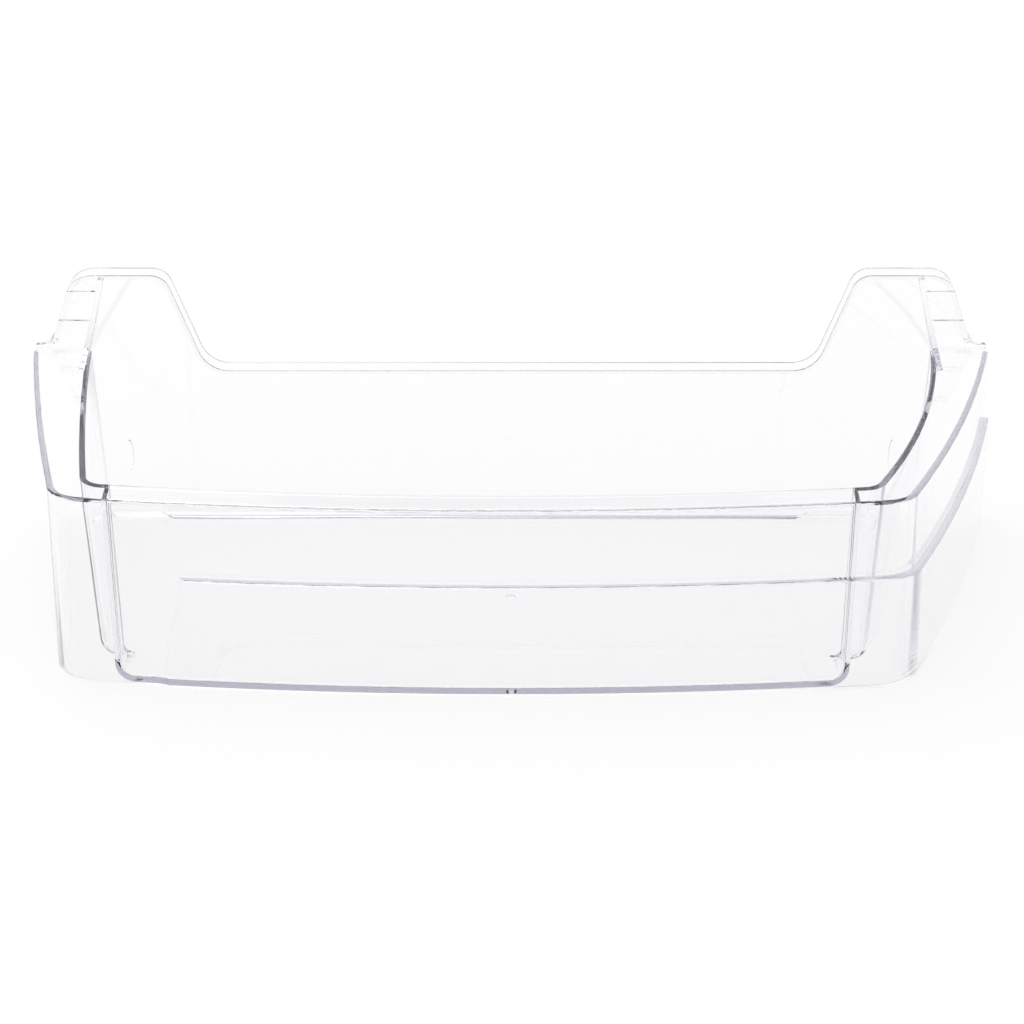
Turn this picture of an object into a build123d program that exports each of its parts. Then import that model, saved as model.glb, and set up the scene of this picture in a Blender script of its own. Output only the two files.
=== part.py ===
"""Clear moulded door shelf for a refrigerator: one injection moulding, in millimetres.

X runs to the right as the user faces the shelf, Y runs to the back, Z is up.
The shelf stands on the lower edges of its skin and back plate at Z = 0.
"""
import os
from math import radians, sqrt, tan

from build123d import *

# Heights above the lower edge
LEDGE_HEIGHT = 89.0
EAR_HEIGHT = 126.0
BACK_HEIGHT = 78.0
PANEL_HEIGHT = 54.0
FLOOR_CLEARANCE = 0.3

# Plan sizes at ledge height; depths run forward from the back plate's rear face
LEDGE_HALF_WIDTH = 220.0
SIDE_LEDGE = 27.0
FRONT_DEPTH = 151.0
FRONT_RADIUS = 1550.0
LIP_WIDTH = 14.0
SKIN_DRAW_LEFT = 29.5
SKIN_DRAW_RIGHT = 55.0
TROUGH_DRAW_LEFT = 16.0
TROUGH_DRAW_RIGHT = 41.5
WEB_SET_LEFT = 10.0
WEB_SET_RIGHT = 9.5
SKIN_BULGE_LEFT = 1.9
SKIN_BULGE_RIGHT = 4.8
TROUGH_BULGE_LEFT = 1.6
TROUGH_BULGE_RIGHT = 7.5
SKIN_CORNER_RADIUS = 17.0
TROUGH_CORNER_RADIUS = 9.0

# Walls, draft and roundings
WALL = 2.4
WEB_THICKNESS = 1.9
FLOOR_THICKNESS = 2.3
DRAFT = 1.5
LEDGE_EDGE_RADIUS = 1.8
RIM_CHAMFER = 0.8
FLOOR_RADIUS = 6.5
BAY_RUN = 42.0
BAY_RADIUS = 2.0

# Raised lower panel on the front and the right side
PANEL_PROUD = 2.6
PANEL_END_SET = 43.5
PANEL_END_SLANT = 11.5
PANEL_END_RAMP = 3.4
PANEL_EDGE_RADIUS = 1.6

# Back plate, ears and hook flange
FLANGE_DEPTH = 7.5
EAR_FOOT_SET = 9.0
EAR_SHOULDER_SET = 21.0
EAR_WIDTH = 42.0
EAR_SLOPE = 17.0
EAR_OUTER_RADIUS = 13.0
EAR_INNER_RADIUS = 9.0
BACK_CORNER_RADIUS = 14.0
EAR_FOOT_RADIUS = 5.0
REAR_LIP_HEIGHT = 2.6
GUSSET_RUN = 24.0
GUSSET_LEAN = 9.0
GUSSET_TIP = 5.0
GUSSET_SWEEP = 6.0
RIB_PROUD = 1.4
RIB_WIDTHS = {12.0: 6.5, 27.0: 5.5}

# Oval pads on the back plate and the gate dimple under the floor
PAD_WIDTH = 3.0
PAD_LENGTH = 16.0
PAD_PROUD = 0.6
PAD_HEIGHT = 34.0
PAD_SET = 14.0
GATE_DIAMETER = 4.6
GATE_RECESS = 0.9
GATE_DEPTH = 76.0

# Spare length on cutting tools
OVERRUN = 12.0

# Worked-out sizes
DRAFT_SLOPE = tan(radians(DRAFT))
FLARE = LEDGE_HEIGHT * DRAFT_SLOPE
FRONT_REACH = FRONT_DEPTH + FLARE + PANEL_PROUD
BACK_Y = (FRONT_REACH - FLANGE_DEPTH) / 2
CENTRE_SHIFT = -PANEL_PROUD / 2
FLOOR_TOP = FLOOR_CLEARANCE + FLOOR_THICKNESS
LIP_TOP = LEDGE_HEIGHT + REAR_LIP_HEIGHT
EAR_RISE = EAR_HEIGHT - LEDGE_HEIGHT
TROUGH_HALF_WIDTH = LEDGE_HALF_WIDTH - SIDE_LEDGE
SKIN_CORNER_LEFT = LEDGE_HALF_WIDTH - SKIN_DRAW_LEFT
SKIN_CORNER_RIGHT = LEDGE_HALF_WIDTH - SKIN_DRAW_RIGHT
TROUGH_CORNER_LEFT = TROUGH_HALF_WIDTH - TROUGH_DRAW_LEFT
TROUGH_CORNER_RIGHT = TROUGH_HALF_WIDTH - TROUGH_DRAW_RIGHT
WEB_LEFT = TROUGH_CORNER_LEFT - WEB_SET_LEFT
WEB_RIGHT = TROUGH_CORNER_RIGHT - WEB_SET_RIGHT
PANEL_END = SKIN_CORNER_LEFT - PANEL_END_SET
EAR_FOOT = LEDGE_HALF_WIDTH - EAR_FOOT_SET
EAR_SHOULDER = LEDGE_HALF_WIDTH - EAR_SHOULDER_SET
EAR_INNER = EAR_SHOULDER - EAR_WIDTH
BACK_HALF_FLAT = EAR_INNER - EAR_SLOPE


def plan_at(height):
    """Plan plane at a height, with its origin on the back plate's rear face."""
    return Plane(origin=(0, BACK_Y, height))


def elevation_at(depth):
    """Upright plane seen from the front, a depth forward of the back plate's rear face."""
    return Plane(origin=(0, BACK_Y - depth, 0), x_dir=(1, 0, 0), z_dir=(0, -1, 0))


def bowed_front(x, depth):
    """Point of the bowed front line, where depth is its reach at the middle."""
    return (x, FRONT_RADIUS - depth - sqrt(FRONT_RADIUS**2 - x**2))


def plan_sketch(back, corners, depth, bulges, radius):
    """Plan with bowed sides and front, rounded front corners and a straight run past the back.

    back, corners and bulges each hold a left and a right value.
    """
    front_left = bowed_front(-corners[0], depth)
    front_right = bowed_front(corners[1], depth)
    with BuildSketch() as plan:
        with BuildLine():
            Polyline((-back[0], 0), (-back[0], OVERRUN), (back[1], OVERRUN), (back[1], 0))
            SagittaArc((back[1], 0), front_right, bulges[1])
            ThreePointArc(front_right, bowed_front(0, depth), front_left)
            SagittaArc(front_left, (-back[0], 0), bulges[0])
        make_face()
        fillet(plan.vertices().sort_by(Axis.Y)[:2], radius)
    return plan.sketch


def skin_plan(grow):
    """Plan of the outer skin at ledge height, grown all round."""
    return plan_sketch(
        (LEDGE_HALF_WIDTH + grow, LEDGE_HALF_WIDTH + grow),
        (SKIN_CORNER_LEFT + grow, SKIN_CORNER_RIGHT + grow),
        FRONT_DEPTH + grow,
        (SKIN_BULGE_LEFT, SKIN_BULGE_RIGHT),
        SKIN_CORNER_RADIUS + grow,
    )


def trough_plan(grow):
    """Plan of the trough at ledge height, out to the front lip's inner edge, grown all round."""
    return plan_sketch(
        (TROUGH_HALF_WIDTH + grow, TROUGH_HALF_WIDTH + grow),
        (TROUGH_CORNER_LEFT + grow, TROUGH_CORNER_RIGHT + grow),
        FRONT_DEPTH - LIP_WIDTH + grow,
        (TROUGH_BULGE_LEFT, TROUGH_BULGE_RIGHT),
        TROUGH_CORNER_RADIUS + grow,
    )


def drafted_block(plan, grow, low, high, slope):
    """Solid between two heights, whose plan grows by slope for each millimetre below the ledge."""
    with BuildPart() as block:
        for height in (low, high):
            with BuildSketch(plan_at(height)):
                add(plan(grow + slope * (LEDGE_HEIGHT - height)))
        loft(ruled=True)
    return block.part


def skin_block(grow, low, high):
    """Drafted block on the skin's plan, wider below."""
    return drafted_block(skin_plan, grow, low, high, DRAFT_SLOPE)


def trough_block(grow, low, high):
    """Drafted block on the trough's plan, narrower below."""
    return drafted_block(trough_plan, grow, low, high, -DRAFT_SLOPE)


def bay_profile(side, below):
    """Opening between the webs in elevation, with rounded feet, grown at its sides and below."""
    with BuildSketch() as profile:
        with BuildLine():
            Polyline(
                (-WEB_LEFT - side, FLOOR_TOP - below),
                (-WEB_LEFT - side, LEDGE_HEIGHT),
                (WEB_RIGHT + side, LEDGE_HEIGHT),
                (WEB_RIGHT + side, FLOOR_TOP - below),
                close=True,
            )
        make_face()
        fillet(profile.vertices().group_by(Axis.Y)[0], FLOOR_RADIUS + side)
    return profile.sketch


# Raised lower panel: the skin stood out, ending near the left corner in a slanted ramp
with BuildPart() as panel:
    add(skin_block(PANEL_PROUD, 0, PANEL_HEIGHT))
    slant = PANEL_END_SLANT / PANEL_HEIGHT
    end_point = (-PANEL_END, BACK_Y + bowed_front(PANEL_END, FRONT_REACH)[1], 0)
    inside_skin = (-PANEL_END - 3 * PANEL_END_RAMP, 0, 0)
    split(bisect_by=Plane(origin=inside_skin, z_dir=(1, 0, -slant)), keep=Keep.TOP)
    split(bisect_by=Plane(origin=end_point, z_dir=(1, PANEL_END_RAMP / PANEL_PROUD, -slant)), keep=Keep.TOP)
    fillet(panel.faces().sort_by(Axis.Z)[-1].edges(), PANEL_EDGE_RADIUS)

# Inside of the trough, rounded where its walls meet the floor
with BuildPart() as trough:
    add(trough_block(0, FLOOR_TOP, LEDGE_HEIGHT + OVERRUN))
    split(bisect_by=elevation_at(WALL), keep=Keep.TOP)
    fillet(trough.faces().sort_by(Axis.Z)[0].edges(), FLOOR_RADIUS)

# Bevel round the trough's rim, as a wedge-sided plug
with BuildPart() as rim:
    for rise in (-2 * RIM_CHAMFER, RIM_CHAMFER):
        with BuildSketch(plan_at(LEDGE_HEIGHT + rise)):
            add(trough_plan(rise + RIM_CHAMFER))
    loft(ruled=True)
    split(bisect_by=elevation_at(WALL), keep=Keep.TOP)

# Outside of the trough, rounded to match
with BuildPart() as trough_outside:
    add(trough_block(WALL, FLOOR_CLEARANCE, LEDGE_HEIGHT))
    split(bisect_by=elevation_at(0), keep=Keep.TOP)
    fillet(trough_outside.faces().sort_by(Axis.Z)[0].edges(), FLOOR_RADIUS + WALL)

# Everything that the skin encloses, below the ledge
skin_inside = skin_block(-WALL, -OVERRUN, LEDGE_HEIGHT - WALL)

# Bay under the front lip, from web to web and out to the skin
with BuildPart() as bay:
    with BuildSketch(elevation_at(FRONT_DEPTH - BAY_RUN)):
        add(bay_profile(0, 0))
    extrude(amount=FRONT_DEPTH)
    add(skin_inside, mode=Mode.INTERSECT)
    front_edges = bay.faces().sort_by(Axis.Y)[0].edges().sort_by(Axis.Z)
    fillet(front_edges[:-1], BAY_RADIUS)

# Underside: the side pockets for the door's lugs, open below and behind, and the room under the floor
with BuildPart() as underside:
    add(skin_inside)
    add(trough_outside.part, mode=Mode.SUBTRACT)
    with BuildSketch(elevation_at(-FRONT_DEPTH)):
        add(bay_profile(WEB_THICKNESS, FLOOR_THICKNESS))
    extrude(amount=3 * FRONT_DEPTH, mode=Mode.SUBTRACT)


def back_profile():
    """Back plate in elevation: lowered middle, two ears and the ledge's rear lips."""
    lip_outer = LEDGE_HALF_WIDTH - LEDGE_EDGE_RADIUS
    half = [
        (TROUGH_HALF_WIDTH + WALL - FLARE, 0),
        (TROUGH_HALF_WIDTH + WALL, LEDGE_HEIGHT - WALL),
        (lip_outer, LEDGE_HEIGHT - WALL),
        (lip_outer, LIP_TOP),
        (EAR_FOOT, LIP_TOP),
        (EAR_SHOULDER, EAR_HEIGHT),
        (EAR_INNER, EAR_HEIGHT),
        (BACK_HALF_FLAT, BACK_HEIGHT),
    ]
    roundings = (
        (EAR_FOOT, LIP_TOP, EAR_FOOT_RADIUS),
        (EAR_SHOULDER, EAR_HEIGHT, EAR_OUTER_RADIUS),
        (EAR_INNER, EAR_HEIGHT, EAR_INNER_RADIUS),
        (BACK_HALF_FLAT, BACK_HEIGHT, BACK_CORNER_RADIUS),
    )
    mirrored = [(-x, z) for x, z in reversed(half)]
    with BuildSketch() as profile:
        with BuildLine():
            Polyline(half + mirrored, close=True)
        make_face()
        for x, z, radius in roundings:
            for side in (-1, 1):
                fillet(profile.vertices().sort_by_distance((side * x, z, 0))[0], radius)
    return profile.sketch


def gusset_line(height):
    """Half width at which the leaning gusset's inner face stands, at a height."""
    return TROUGH_HALF_WIDTH - GUSSET_LEAN * (height - LEDGE_HEIGHT) / EAR_RISE


# Back plate with its hook flange, ear ribs and gussets
with BuildPart() as back:
    with BuildSketch(elevation_at(0)):
        add(back_profile())
    extrude(amount=WALL)
    with BuildSketch(elevation_at(0)):
        add(back_profile())
        offset(back_profile(), amount=-WALL, mode=Mode.SUBTRACT)
        Rectangle(2 * LEDGE_HALF_WIDTH, 2 * (BACK_HEIGHT - WALL), mode=Mode.SUBTRACT)
        with Locations((-LEDGE_HALF_WIDTH, 0), (LEDGE_HALF_WIDTH, 0)):
            Rectangle(2 * (LEDGE_HALF_WIDTH - EAR_INNER), 2 * LIP_TOP, mode=Mode.SUBTRACT)
    extrude(amount=-FLANGE_DEPTH)
    with BuildSketch(elevation_at(WALL)):
        add(back_profile())
        with BuildSketch(mode=Mode.INTERSECT):
            for middle, width in RIB_WIDTHS.items():
                low = LEDGE_HEIGHT + middle - width / 2
                high = low + width
                for side in (-1, 1):
                    with BuildLine():
                        Polyline(
                            (side * gusset_line(low), low),
                            (side * EAR_FOOT, low),
                            (side * EAR_FOOT, high),
                            (side * gusset_line(high), high),
                            close=True,
                        )
                    make_face()
    extrude(amount=RIB_PROUD)
    with BuildSketch(elevation_at(WALL)):
        with Locations((PAD_SET - TROUGH_HALF_WIDTH, PAD_HEIGHT), (TROUGH_HALF_WIDTH - PAD_SET, PAD_HEIGHT)):
            Ellipse(PAD_WIDTH / 2, PAD_LENGTH / 2)
    extrude(amount=PAD_PROUD)
    for side in (-1, 1):
        foot = (side * TROUGH_HALF_WIDTH, BACK_Y, LEDGE_HEIGHT)
        with BuildSketch(Plane(origin=foot, x_dir=(0, -1, 0), z_dir=(-EAR_RISE, 0, -side * GUSSET_LEAN))):
            with BuildLine():
                Polyline(
                    (GUSSET_TIP, EAR_RISE),
                    (WALL / 2, EAR_RISE),
                    (WALL / 2, -WALL),
                    (GUSSET_RUN, -WALL),
                    (GUSSET_RUN, 0),
                )
                SagittaArc((GUSSET_RUN, 0), (GUSSET_TIP, EAR_RISE), GUSSET_SWEEP)
            make_face()
        extrude(amount=-side * WALL)

# The moulding: drafted block, opened from above and below, on its back plate
with BuildPart() as door_shelf:
    add(skin_block(0, 0, LEDGE_HEIGHT))
    ledge_edges = door_shelf.faces().sort_by(Axis.Z)[-1].edges().sort_by(Axis.Y)
    fillet([edge for edge in ledge_edges if edge.center().Y < BACK_Y], LEDGE_EDGE_RADIUS)
    add(panel.part)
    split(bisect_by=elevation_at(WALL), keep=Keep.TOP)
    add(underside.part, mode=Mode.SUBTRACT)
    add(trough.part, mode=Mode.SUBTRACT)
    add(rim.part, mode=Mode.SUBTRACT)
    add(bay.part, mode=Mode.SUBTRACT)
    add(back.part)
    with Locations((0, BACK_Y - GATE_DEPTH, FLOOR_CLEARANCE)):
        Cylinder(
            GATE_DIAMETER / 2,
            GATE_RECESS,
            align=(Align.CENTER, Align.CENTER, Align.MIN),
            mode=Mode.SUBTRACT,
        )

moulding = Pos(CENTRE_SHIFT, 0, 0) * door_shelf.part
moulding.label = "door_shelf"
os.makedirs("parts", exist_ok=True)
export_step(moulding, "parts/door_shelf.step")
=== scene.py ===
"""Clear moulded refrigerator door shelf, dressed and lit on plain white paper."""
import logging
import math
from dataclasses import dataclass, field
from enum import Enum
from typing import Any

import bmesh
import bpy
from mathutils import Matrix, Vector


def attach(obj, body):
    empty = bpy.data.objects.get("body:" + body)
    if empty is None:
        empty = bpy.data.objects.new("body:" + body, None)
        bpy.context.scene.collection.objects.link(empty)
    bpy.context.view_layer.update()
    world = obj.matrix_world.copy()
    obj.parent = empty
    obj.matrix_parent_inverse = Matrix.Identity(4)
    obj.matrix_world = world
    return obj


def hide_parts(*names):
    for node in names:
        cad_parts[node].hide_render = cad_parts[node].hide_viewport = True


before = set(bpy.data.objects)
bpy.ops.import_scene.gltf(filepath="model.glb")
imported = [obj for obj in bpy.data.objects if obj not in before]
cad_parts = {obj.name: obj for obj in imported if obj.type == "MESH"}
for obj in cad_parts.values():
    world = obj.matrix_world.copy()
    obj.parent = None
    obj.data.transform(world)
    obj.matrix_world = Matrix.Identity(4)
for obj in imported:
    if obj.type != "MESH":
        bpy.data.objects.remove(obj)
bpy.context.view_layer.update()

MM = 0.001
BODY = "root"
log = logging.getLogger("door_shelf")


class Ray(Enum):
    """Rays that see the white sweep as plain white, by their Light Path outputs."""

    CAMERA = "Is Camera Ray"
    GLOSSY = "Is Glossy Ray"
    TRANSMISSION = "Is Transmission Ray"


def linear(hex_colour: str) -> tuple[float, float, float, float]:
    """Turn an sRGB hex colour to linear values.

    Args:
        hex_colour: Six hex digits, such as "f4f2f8".

    Returns:
        Linear red, green and blue, and an alpha of 1.
    """
    shares = [int(hex_colour[i : i + 2], 16) / 255 for i in (0, 2, 4)]
    red, green, blue = (s / 12.92 if s <= 0.04045 else ((s + 0.055) / 1.055) ** 2.4 for s in shares)
    return red, green, blue, 1.0


def add_node(tree: bpy.types.NodeTree, kind: str, links: dict[str, Any], **settings: Any) -> bpy.types.Node:
    """Add a node with its settings, constants and incoming links.

    Args:
        tree: Node tree that takes the node.
        kind: Blender's identifier of the node.
        links: Input name to an output socket that feeds it, or to a constant.
        settings: Properties of the node itself.

    Returns:
        The new node.
    """
    node = tree.nodes.new(kind)
    for name, value in settings.items():
        setattr(node, name, value)
    for name, value in links.items():
        socket = node.inputs[int(name)] if name.isdigit() else node.inputs[name]
        if isinstance(value, bpy.types.NodeSocket):
            tree.links.new(value, socket)
        else:
            socket.default_value = value
    return node


def blank_material(name: str) -> tuple[bpy.types.Material, bpy.types.NodeTree]:
    """Make a node material with an empty tree.

    Args:
        name: Name of the material.

    Returns:
        The material and its node tree.
    """
    material = bpy.data.materials.new(name)
    material.use_nodes = True
    material.node_tree.nodes.clear()
    return material, material.node_tree


@dataclass(frozen=True)
class ClearStyrene:
    """Crystal polystyrene, injection moulded.

    The eye sees water-clear walls that gather a cool lavender grey only where light runs far inside them,
    so the moulding reads by its edges. Faint flow ripples and a patchy polish keep the walls from being
    perfect.
    """

    name: str = "polystyrene_clear_moulded"
    tint: str = "ffffff"
    ior: float = 1.57
    depth_tint: str = "b3b0c4"
    depth_density: float = 8.5
    ripple_mm: float = 34.0
    ripple_height_mm: float = 0.02
    ripple_detail: float = 1.0
    rub_mm: float = 9.0
    rub_stretch: float = 0.25
    rub_detail: float = 2.0
    rub_range: tuple[float, float] = (0.52, 0.78)
    polish: float = 0.015
    rubbed: float = 0.07

    def material(self) -> bpy.types.Material:
        """Build the material, with faint flow ripples and a patchy polish from handling.

        Returns:
            The clear material with its absorbing volume.
        """
        material, tree = blank_material(self.name)
        place = add_node(tree, "ShaderNodeTexCoord", {}).outputs["Object"]
        ripple = add_node(
            tree,
            "ShaderNodeTexNoise",
            {"Vector": place, "Scale": 1 / (self.ripple_mm * MM), "Detail": self.ripple_detail},
        )
        bump = add_node(
            tree,
            "ShaderNodeBump",
            {"Height": ripple.outputs["Fac"], "Strength": 1.0, "Distance": self.ripple_height_mm * MM},
        )
        drawn = add_node(tree, "ShaderNodeMapping", {"Vector": place, "Scale": (self.rub_stretch, 1.0, 1.0)})
        rub = add_node(
            tree,
            "ShaderNodeTexNoise",
            {"Vector": drawn.outputs["Vector"], "Scale": 1 / (self.rub_mm * MM), "Detail": self.rub_detail},
        )
        rough = add_node(
            tree,
            "ShaderNodeMapRange",
            {
                "Value": rub.outputs["Fac"],
                "From Min": self.rub_range[0],
                "From Max": self.rub_range[1],
                "To Min": self.polish,
                "To Max": self.rubbed,
            },
        )
        shader = add_node(
            tree,
            "ShaderNodeBsdfPrincipled",
            {
                "Base Color": linear(self.tint),
                "Roughness": rough.outputs["Result"],
                "IOR": self.ior,
                "Transmission Weight": 1.0,
                "Normal": bump.outputs["Normal"],
            },
        )
        depth = add_node(
            tree,
            "ShaderNodeVolumeAbsorption",
            {"Color": linear(self.depth_tint), "Density": self.depth_density},
        )
        add_node(
            tree,
            "ShaderNodeOutputMaterial",
            {"Surface": shader.outputs["BSDF"], "Volume": depth.outputs["Volume"]},
        )
        return material


@dataclass(frozen=True)
class WhitePaper:
    """Uncoated white background paper: the eye sees a flat, bright white with a very soft contact shadow."""

    name: str = "paper_white_uncoated"
    colour: str = "fbfafb"
    glow: str = "ffffff"
    shadow_share: float = 0.15

    def material(self) -> bpy.types.Material:
        """Build the paper, nearly plain white to the rays that look at it, with a share left to its shadow.

        Returns:
            The paper's material.
        """
        material, tree = blank_material(self.name)
        paper = add_node(tree, "ShaderNodeBsdfDiffuse", {"Color": linear(self.colour)})
        glow = add_node(tree, "ShaderNodeEmission", {"Color": linear(self.glow), "Strength": 1.0})
        seen = looked_at(tree)
        share = add_node(
            tree, "ShaderNodeMath", {"0": seen, "1": 1.0 - self.shadow_share}, operation="MULTIPLY"
        )
        mix = add_node(
            tree,
            "ShaderNodeMixShader",
            {"0": share.outputs[0], "1": paper.outputs["BSDF"], "2": glow.outputs["Emission"]},
        )
        add_node(tree, "ShaderNodeOutputMaterial", {"Surface": mix.outputs["Shader"]})
        return material


def looked_at(tree: bpy.types.NodeTree) -> bpy.types.NodeSocket:
    """Add nodes that tell whether a ray looks at the sweep rather than lights it.

    Args:
        tree: Node tree that takes the nodes.

    Returns:
        A socket that is 1 for camera, glossy and transmission rays, and 0 otherwise.
    """
    path = add_node(tree, "ShaderNodeLightPath", {})
    seen = path.outputs[Ray.CAMERA.value]
    for ray in (Ray.GLOSSY, Ray.TRANSMISSION):
        seen = add_node(
            tree, "ShaderNodeMath", {"0": seen, "1": path.outputs[ray.value]}, operation="MAXIMUM"
        ).outputs[0]
    return seen


@dataclass
class DoorShelf:
    """The one-piece moulding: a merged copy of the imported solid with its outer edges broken."""

    node: str = "door_shelf"
    piece: str = "shelf_moulding"
    slot: str = "clear_plastic"
    merge_mm: float = 0.01
    sharp_degrees: float = 30.0
    edge_break_mm: float = 0.3
    edge_segments: int = 2
    edge_profile: float = 0.5
    gate_mm: tuple[float, float, float] = (-1.3, -1.8, 0.3)
    gate_reach_mm: float = 4.0
    smooth_degrees: float = 60.0
    finish: ClearStyrene = field(default_factory=ClearStyrene)

    def rounded_mesh(self) -> bpy.types.Mesh:
        """Merge the node's loose triangles into one closed skin and break its sharp outer edges.

        Returns:
            The closed mesh with plain smooth shading and no material.
        """
        shell = bmesh.new()
        shell.from_mesh(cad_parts[self.node].data)
        bmesh.ops.remove_doubles(shell, verts=shell.verts, dist=self.merge_mm * MM)
        bmesh.ops.bevel(
            shell,
            geom=[edge for edge in shell.edges if self.is_broken(edge)],
            offset=self.edge_break_mm * MM,
            offset_type="OFFSET",
            segments=self.edge_segments,
            profile=self.edge_profile,
            affect="EDGES",
            clamp_overlap=False,
            loop_slide=True,
        )
        for face in shell.faces:
            face.smooth = True
        for edge in shell.edges:
            edge.smooth = edge.calc_face_angle(math.pi) < math.radians(self.smooth_degrees)
        mesh = bpy.data.meshes.new(self.piece)
        shell.to_mesh(mesh)
        shell.free()
        mesh.materials.clear()
        return mesh

    def is_broken(self, edge: bmesh.types.BMEdge) -> bool:
        """Tell whether an edge is to be broken.

        Args:
            edge: Edge of the merged skin.

        Returns:
            Whether the edge stands out and is sharp, and isn't the rim of the gate dimple.
        """
        gate = Vector(self.gate_mm) * MM
        middle = (edge.verts[0].co + edge.verts[1].co) / 2
        sharp = edge.is_convex and edge.calc_face_angle(0.0) > math.radians(self.sharp_degrees)
        return sharp and (middle - gate).length > self.gate_reach_mm * MM

    def true_normals(self, rough: bpy.types.Mesh) -> bpy.types.Mesh:
        """Give each large face its own normal, so that its walls refract as flat sheets.

        Args:
            rough: Closed mesh with plain smooth shading.

        Returns:
            A plain mesh with normals weighted by face area.
        """
        holder = bpy.data.objects.new("normal_holder", rough)
        bpy.context.scene.collection.objects.link(holder)
        weighted = holder.modifiers.new("weighted_normals", "WEIGHTED_NORMAL")
        weighted.mode = "FACE_AREA"
        weighted.keep_sharp = True
        bpy.context.view_layer.update()
        settled = holder.evaluated_get(bpy.context.evaluated_depsgraph_get())
        mesh = bpy.data.meshes.new_from_object(settled)
        mesh.name = self.piece
        bpy.data.objects.remove(holder)
        bpy.data.meshes.remove(rough)
        return mesh

    def build(self) -> bpy.types.Object:
        """Build the piece, dress it and set it on its body.

        Returns:
            The finished piece.
        """
        mesh = self.true_normals(self.rounded_mesh())
        mesh.materials.append(self.finish.material())
        piece = bpy.data.objects.new(self.piece, mesh)
        bpy.context.scene.collection.objects.link(piece)
        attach(piece, BODY)
        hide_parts(self.node)
        return piece


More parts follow.
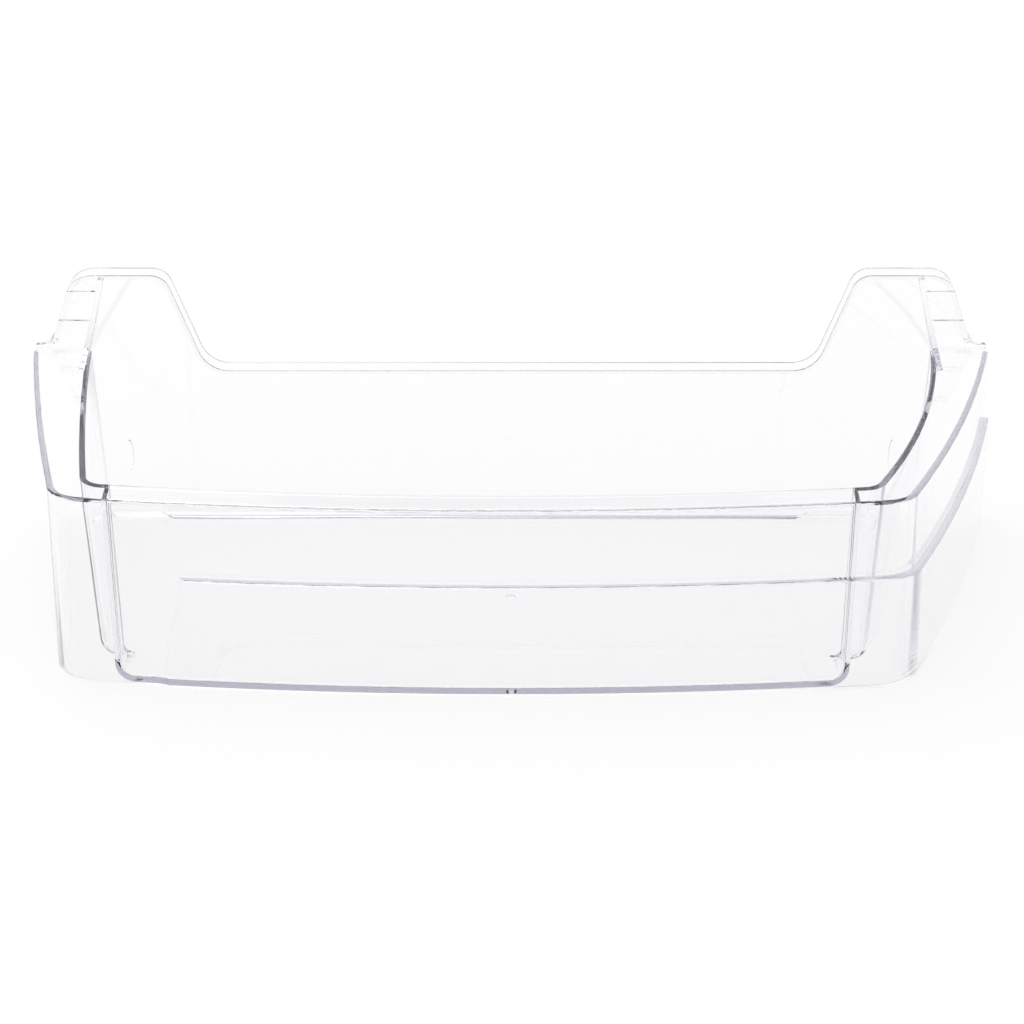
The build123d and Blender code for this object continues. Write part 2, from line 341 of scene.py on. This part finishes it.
@dataclass
class Studio:
    """White paper sweep, even sky and one wide soft lamp."""

    sweep_name: str = "paper_sweep"
    reach: float = 2.5
    bend_start: float = 0.9
    bend_radius: float = 0.6
    rise: float = 1.6
    bend_steps: int = 12
    paper: WhitePaper = field(default_factory=WhitePaper)
    sky_low: str = "ffffff"
    sky_high: str = "c9c6d6"
    sky_fade: tuple[float, float] = (0.58, 0.85)
    lamp_power: float = 14.0
    lamp_size: float = 1.6
    lamp_place: tuple[float, float, float] = (-0.5, 0.3, 1.7)

    def sweep_outline(self) -> list[tuple[float, float]]:
        """Give the sweep's side view.

        Returns:
            Depth and height pairs in metres, floor first.
        """
        turns = [math.pi / 2 * i / self.bend_steps for i in range(self.bend_steps + 1)]
        bend = [
            (
                self.bend_start + self.bend_radius * math.sin(turn),
                self.bend_radius * (1 - math.cos(turn)),
            )
            for turn in turns
        ]
        return [(-self.reach, 0.0), *bend, (bend[-1][0], self.rise)]

    def build_sweep(self) -> bpy.types.Object:
        """Build the paper under and behind the shelf.

        Returns:
            The staged sweep.
        """
        outline = self.sweep_outline()
        points = [(side * self.reach, y, z) for y, z in outline for side in (-1, 1)]
        faces = [(2 * i, 2 * i + 1, 2 * i + 3, 2 * i + 2) for i in range(len(outline) - 1)]
        mesh = bpy.data.meshes.new(self.sweep_name)
        mesh.from_pydata(points, [], faces)
        mesh.shade_smooth()
        mesh.materials.append(self.paper.material())
        sweep = bpy.data.objects.new(self.sweep_name, mesh)
        bpy.context.scene.collection.objects.link(sweep)
        return sweep

    def build_sky(self) -> bpy.types.World:
        """Build an even world, white at the horizon and pale grey overhead.

        Returns:
            The scene's world.
        """
        world = bpy.data.worlds.new("studio_sky")
        bpy.context.scene.world = world
        world.use_nodes = True
        tree = world.node_tree
        tree.nodes.clear()
        way = add_node(tree, "ShaderNodeTexCoord", {}).outputs["Generated"]
        height = add_node(tree, "ShaderNodeSeparateXYZ", {"Vector": way}).outputs["Z"]
        share = add_node(
            tree,
            "ShaderNodeMapRange",
            {"Value": height, "From Min": self.sky_fade[0], "From Max": self.sky_fade[1]},
        ).outputs["Result"]
        colour = add_node(
            tree,
            "ShaderNodeMix",
            {"0": share, "6": linear(self.sky_low), "7": linear(self.sky_high)},
            data_type="RGBA",
        )
        back = add_node(tree, "ShaderNodeBackground", {"Color": colour.outputs[2], "Strength": 1.0})
        add_node(tree, "ShaderNodeOutputWorld", {"Surface": back.outputs["Background"]})
        return world

    def build_lamp(self) -> bpy.types.Object:
        """Build the wide lamp over the shelf.

        Returns:
            The lamp's object, turned to the shelf.
        """
        lamp = bpy.data.lights.new("soft_lamp", "AREA")
        lamp.energy = self.lamp_power
        lamp.size = self.lamp_size
        holder = bpy.data.objects.new("soft_lamp", lamp)
        holder.location = self.lamp_place
        holder.rotation_euler = (-Vector(self.lamp_place)).to_track_quat("-Z", "Y").to_euler()
        bpy.context.scene.collection.objects.link(holder)
        return holder


@dataclass(frozen=True)
class LightPaths:
    """Bounces that a ray may take, enough for light that runs along inside the clear walls."""

    total: int = 32
    glossy: int = 32
    transmission: int = 32

    def apply(self) -> None:
        """Set the bounces on the scene."""
        cycles = bpy.context.scene.cycles
        cycles.max_bounces = self.total
        cycles.glossy_bounces = self.glossy
        cycles.transmission_bounces = self.transmission


@dataclass
class PhotoCamera:
    """Camera at the photograph's height, tilt and distance."""

    eye: tuple[float, float, float] = (-0.0013, -0.9608, 0.599)
    pitch_degrees: float = 30.0
    lens_mm: float = 87.9
    sensor_mm: float = 36.0
    shift: float = 0.001

    def build(self) -> bpy.types.Object:
        """Build the camera and make it the scene's own.

        Returns:
            The camera's object.
        """
        lens = bpy.data.cameras.new("photo_camera")
        lens.lens = self.lens_mm
        lens.sensor_width = self.sensor_mm
        lens.shift_x = self.shift
        camera = bpy.data.objects.new("photo_camera", lens)
        camera.location = self.eye
        camera.rotation_euler = (math.radians(90 - self.pitch_degrees), 0.0, 0.0)
        bpy.context.scene.collection.objects.link(camera)
        bpy.context.scene.camera = camera
        return camera


def main() -> None:
    """Build the camera, the studio and the shelf, and note the sizes."""
    logging.basicConfig(level=logging.INFO, format="%(name)s: %(message)s")
    bpy.context.scene.view_settings.view_transform = "Standard"
    LightPaths().apply()
    PhotoCamera().build()
    studio = Studio()
    studio.build_sweep()
    studio.build_sky()
    studio.build_lamp()
    shelf = DoorShelf().build()
    log.info("%s: %d faces on body %s", shelf.name, len(shelf.data.polygons), BODY)
    bpy.context.view_layer.update()


if __name__ == "__main__":
    main()
